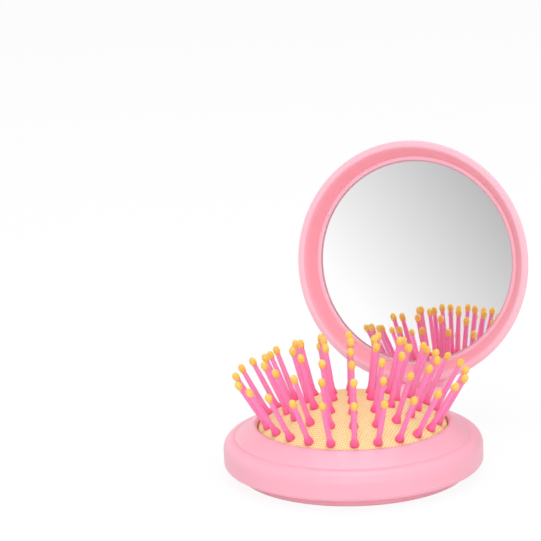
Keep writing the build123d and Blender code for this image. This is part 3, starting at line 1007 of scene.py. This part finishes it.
# Motifs: die-cut vinyl stickers, screen-printed in soft pastels whose fine dots show, on a white
# border that stands a little proud of the glitter. Sizes in mm.
motifs = {
    "foot": 8.2,            # the panel's face in the lid's frame
    "sheet": 0.12,          # thickness of the white vinyl
    "inkStep": 0.012,       # between one printed layer and the next
    "borderStep": 0.0012,   # between overlapping patches of the border
    "border": 0.8,          # white round the print
    "lineWidth": 0.28,
    "lineColour": "#A7809C",
    "fade": 0.7,            # share of a patch whose colour is at its lightest
    "steps": 8,             # points between two control points
    "vinyl": {"colour": "#FBF9FA", "castSize": 1.2, "castDepth": 0.01, "roughness": 0.35, "ior": 1.54},
    "ink": {
        "dotSize": 0.42,    # real dots are near 0.2, too fine to show
        "dotScatter": 0.35, "dotRange": (0.1, 0.6), "dotShade": (0.88, 1.05),
        "roughness": 0.42, "ior": 1.5,
    },
}
inkColours = {
    "pink": ("#E893B8", "#F6BFD6"),
    "lilac": ("#B596D2", "#D6C1E8"),
    "sky": ("#7CC3E2", "#B3E0F0"),
    "mint": ("#9AD8BC", "#C9EDD6"),
    "yellow": ("#F3D56C", "#FAE9A6"),
    "orange": ("#E89A45", "#F3BC79"),
    "cream": ("#EADDE0", "#F6F1F1"),
    "body": ("#C79CC2", "#E3C6DD"),
}
inks = {name: (linear(deep), linear(light)) for name, (deep, light) in inkColours.items()}


def borderVinyl():
    vinyl = motifs["vinyl"]
    material, tree, shader = newMaterial("stickerVinylSheet")
    setInputs(tree, shader, {
        "Base Color": linear(vinyl["colour"]),
        "Normal": grained(tree, vinyl["castSize"], 2.0, vinyl["castDepth"]),
        "Roughness": vinyl["roughness"], "IOR": vinyl["ior"]})
    return material


def screenInk():
    ink = motifs["ink"]
    material, tree, shader = newMaterial("stickerScreenPrintedInk")
    tone = addNode(tree, "Attribute", attribute_name="inkTone")
    dots = patterned(tree, "TexVoronoi", ink["dotSize"], {"Randomness": ink["dotScatter"]})
    (near, far), (least, most) = ink["dotRange"], ink["dotShade"]
    shade = addNode(tree, "MapRange", {
        "Value": dots, "From Min": near, "From Max": far, "To Min": least, "To Max": most})
    toned = addNode(tree, "VectorMath", {0: tone, "Scale": shade}, operation="SCALE")
    setInputs(tree, shader, {"Base Color": toned, "Roughness": ink["roughness"], "IOR": ink["ior"]})
    return material


def smoothLoop(points):
    # a closed curve through a few points, rounded as a drawn line is
    loop, count = [], len(points)
    for i in range(count):
        before, start, end, after = (Vector(points[(i + k) % count]) for k in (-1, 0, 1, 2))
        for step in range(motifs["steps"]):
            t = step / motifs["steps"]
            bend = (2 * before - 5 * start + 4 * end - after) * t * t
            swing = (3 * start - before - 3 * end + after) * t ** 3
            loop.append(0.5 * (2 * start + (end - before) * t + bend + swing))
    return loop


def ovalLoop(middle, across, along, turn=0.0, count=40):
    spin = Matrix.Rotation(math.radians(turn), 2)
    angles = [2 * math.pi * i / count for i in range(count)]
    return [Vector(middle) + spin @ Vector((across * math.cos(angle), along * math.sin(angle)))
            for angle in angles]


def sideways(loop, way):
    # the same outline, mirrored where the way is -1
    return [Vector((point.x * way, point.y)) for point in loop]


def towards(loop, root, share):
    # the same outline, drawn in towards a point
    return [Vector(root) + (point - Vector(root)) * share for point in loop]


def grown(loop, width):
    # the outline moved outwards by a width
    area = sum(a.x * b.y - b.x * a.y for a, b in zip(loop, loop[1:] + loop[:1]))
    out = []
    for before, point, after in zip(loop[-1:] + loop[:-1], loop, loop[1:] + loop[:1]):
        along = (after - before).normalized()
        out.append(point + Vector((along.y, -along.x)) * math.copysign(width, area))
    return out


def strokeLoop(path, width):
    # the outline of a pen stroke along an open path, with round ends
    sides = ([], [])
    for i, point in enumerate(path):
        along = (path[min(i + 1, len(path) - 1)] - path[max(i - 1, 0)]).normalized()
        for side, way in zip(sides, (1, -1)):
            side.append(point + Vector((-along.y, along.x)) * way * width / 2)
    caps = []
    for middle, start in ((path[-1], sides[0][-1]), (path[0], sides[1][0])):
        turns = [Matrix.Rotation(-math.pi * i / 6, 2) for i in range(1, 6)]
        caps.append([middle + turn @ (start - middle) for turn in turns])
    return sides[0] + caps[0] + sides[1][::-1] + caps[1]


def closeWall(mesh, low, high):
    # a band of faces between two rings of as many points
    pairs = list(zip(low, high))
    return [mesh.faces.new((a, c, d, b)) for (a, b), (c, d) in zip(pairs, pairs[1:] + pairs[:1])]


class Sticker:
    # one motif: a white sheet and the inks printed on it, both placed in the lid's frame
    def __init__(self, name, at, turn):
        self.name = name
        spin = Matrix.Rotation(math.radians(turn), 4, "Z")
        self.place = lid @ Matrix.Translation(Vector((*at, 0)) * mm) @ spin
        self.sheet, self.print = bmesh.new(), bmesh.new()
        self.tones = self.print.loops.layers.float_color.new("inkTone")
        self.inkFoot = motifs["foot"] + motifs["sheet"]
        self.layers = self.borders = 0

    def ring(self, mesh, loop, height):
        return [mesh.verts.new(self.place @ Vector((*(point * mm), height * mm))) for point in loop]

    def nextLayer(self):
        self.layers += 1
        return self.inkFoot + motifs["inkStep"] * self.layers

    def addBorder(self, loop):
        # patches of one border overlap, so each lies a hair below the last
        self.borders += 1
        low = self.ring(self.sheet, loop, motifs["foot"])
        high = self.ring(self.sheet, loop, self.inkFoot - motifs["borderStep"] * self.borders)
        closeWall(self.sheet, low, high)
        self.sheet.faces.new(high)
        self.sheet.faces.new(low[::-1])

    def addInk(self, loop, colour, fade=motifs["fade"]):
        # a printed patch, deeper in colour towards its edge
        top = self.nextLayer()
        inner = towards(loop, sum(loop, Vector((0, 0))) / len(loop), fade)
        low = self.ring(self.print, loop, self.inkFoot)
        high = self.ring(self.print, loop, top)
        flat = self.ring(self.print, inner, top)
        faces = closeWall(self.print, low, high) + closeWall(self.print, high, flat)
        faces += [self.print.faces.new(flat), self.print.faces.new(low[::-1])]
        deep, light = inks[colour]
        pale = set(flat)
        for face in faces:
            for corner in face.loops:
                corner[self.tones] = light if corner.vert in pale else deep

    def addLine(self, loop, closed=True):
        # a drawn line, round an outline or along an open path
        top, low = self.nextLayer(), self.inkFoot
        if closed:
            half = motifs["lineWidth"] / 2
            rings = [self.ring(self.print, grown(loop, way * half), height)
                     for way, height in ((1, low), (1, top), (-1, top), (-1, low))]
            faces = [face for a, b in zip(rings, rings[1:] + rings[:1])
                     for face in closeWall(self.print, a, b)]
        else:
            outline = strokeLoop(loop, motifs["lineWidth"])
            foot, crest = (self.ring(self.print, outline, height) for height in (low, top))
            faces = closeWall(self.print, foot, crest)
            faces += [self.print.faces.new(crest), self.print.faces.new(foot[::-1])]
        tone = linear(motifs["lineColour"])
        for face in faces:
            for corner in face.loops:
                corner[self.tones] = tone

    def finish(self, vinyl, ink):
        for mesh in (self.sheet, self.print):
            bmesh.ops.triangulate(mesh, faces=[face for face in mesh.faces if len(face.verts) > 4])
        addPiece(f"{self.name}Sheet", self.sheet, "lid", vinyl, creaseAngle=30)
        addPiece(f"{self.name}Print", self.print, "lid", ink, creaseAngle=30)


butterfly = {
    "at": (-8.0, 6.3),
    "turn": 14.0,
    # control points of the right-hand wings, and their inks from the edge inwards
    "wings": (
        (((0.6, 0.8), (2.4, 4.6), (5.2, 7.9), (8.4, 8.2), (9.9, 6.3), (9.5, 3.4), (7.0, 0.9),
          (3.0, -0.1)),
         ("lilac", "pink", "yellow", "orange")),
        (((0.6, -0.4), (3.4, -0.6), (6.8, -1.2), (8.4, -3.5), (7.7, -6.5), (5.2, -8.5), (2.7, -7.3),
          (1.2, -4.0)),
         ("sky", "mint", "yellow", "pink")),
    ),
    "wingRoot": (0.5, 0.3),
    "bands": (1.0, 0.76, 0.54, 0.33),
    "spots": (
        (8.3, 6.9, 0.5), (8.8, 4.9, 0.42), (6.3, 7.3, 0.42), (7.4, -3.3, 0.42), (6.5, -6.3, 0.42)),
    "body": ((0, -0.6), 0.85, 4.6),
    "head": ((0, 4.6), 1.05, 1.0),
    "feelerFoot": (0.35, 5.4),
    "feelerReach": (2.9, 4.7),
    "feelerDroop": 0.9,
    "knob": 0.42,
}
flower = {
    "at": (14.5, -1.5),
    "turn": 8.0,
    "petals": ("pink", "orange", "yellow", "mint", "sky", "lilac"),
    "petalReach": 4.25,
    "petalSize": (3.2, 2.4),
    "petalFade": 0.55,
    "eye": 2.2,
    "seedReach": 1.25,
    "seed": 0.24,
}
heart = {
    "at": (-1.5, -15.6),
    "turn": -6.0,
    "size": 0.385,          # mm for each unit of the heart curve
    "points": 96,
    "lift": 2.4,            # units that bring the curve's middle to the sticker's
    "border": 1.13,
    "bands": ((1.0, "lilac"), (0.82, "sky"), (0.64, "yellow"), (0.46, "orange"), (0.28, "pink")),
    "fade": 0.9,
}


def drawButterfly():
    sticker = Sticker("butterfly", butterfly["at"], butterfly["turn"])
    (x, y), (out, rise), droop = (butterfly["feeler" + part] for part in ("Foot", "Reach", "Droop"))
    times = [i / 10 for i in range(11)]
    feeler = [Vector((x + out * t ** 1.5, y + rise * t - droop * t * t)) for t in times]
    (rootX, rootY), knob = butterfly["wingRoot"], butterfly["knob"]
    for way in (1, -1):
        for points, colours in butterfly["wings"]:
            wing = sideways(smoothLoop(points), way)
            sticker.addBorder(grown(wing, motifs["border"]))
            for share, colour in zip(butterfly["bands"], colours):
                sticker.addInk(towards(wing, (rootX * way, rootY), share), colour)
            sticker.addLine(wing)
        for spotX, spotY, radius in butterfly["spots"]:
            sticker.addInk(ovalLoop((spotX * way, spotY), radius, radius, count=20), "cream")
        antenna = sideways(feeler, way)
        sticker.addBorder(strokeLoop(antenna, 2 * motifs["border"]))
        sticker.addLine(antenna, closed=False)
        sticker.addInk(ovalLoop(antenna[-1], knob, knob, count=20), "body")
    for shape in (ovalLoop(*butterfly["body"]), ovalLoop(*butterfly["head"])):
        sticker.addBorder(grown(shape, motifs["border"]))
        sticker.addInk(shape, "body")
        sticker.addLine(shape)
    return sticker


def drawFlower():
    sticker = Sticker("flower", flower["at"], flower["turn"])
    step = 360 / len(flower["petals"])
    for number, colour in enumerate(flower["petals"]):
        angle = number * step + 90
        way = Vector((math.cos(math.radians(angle)), math.sin(math.radians(angle))))
        petal = ovalLoop(way * flower["petalReach"], *flower["petalSize"], angle)
        sticker.addBorder(grown(petal, motifs["border"]))
        sticker.addInk(petal, colour, flower["petalFade"])
        sticker.addLine(petal)
    eye = ovalLoop((0, 0), flower["eye"], flower["eye"])
    sticker.addInk(eye, "yellow")
    sticker.addLine(eye)
    reach, seed = flower["seedReach"], flower["seed"]
    for number in range(len(flower["petals"])):
        angle = math.radians(number * step)
        middle = (reach * math.cos(angle), reach * math.sin(angle))
        sticker.addInk(ovalLoop(middle, seed, seed, count=14), "orange")
    return sticker


def drawHeart():
    sticker = Sticker("heart", heart["at"], heart["turn"])
    shape = []
    for i in range(heart["points"]):
        t = 2 * math.pi * i / heart["points"]
        x = 16 * math.sin(t) ** 3
        y = heart["lift"] + 13 * math.cos(t) - 5 * math.cos(2 * t)
        y -= 2 * math.cos(3 * t) + math.cos(4 * t)
        shape.append(Vector((x, y)) * heart["size"])
    sticker.addBorder(towards(shape, (0, 0), heart["border"]))
    for share, colour in heart["bands"]:
        sticker.addInk(towards(shape, (0, 0), share), colour, heart["fade"])
    sticker.addLine(shape)
    return sticker


vinyl, ink = borderVinyl(), screenInk()
for draw in (drawButterfly, drawFlower, drawHeart):
    draw().finish(vinyl, ink)
print("motifs are printed")
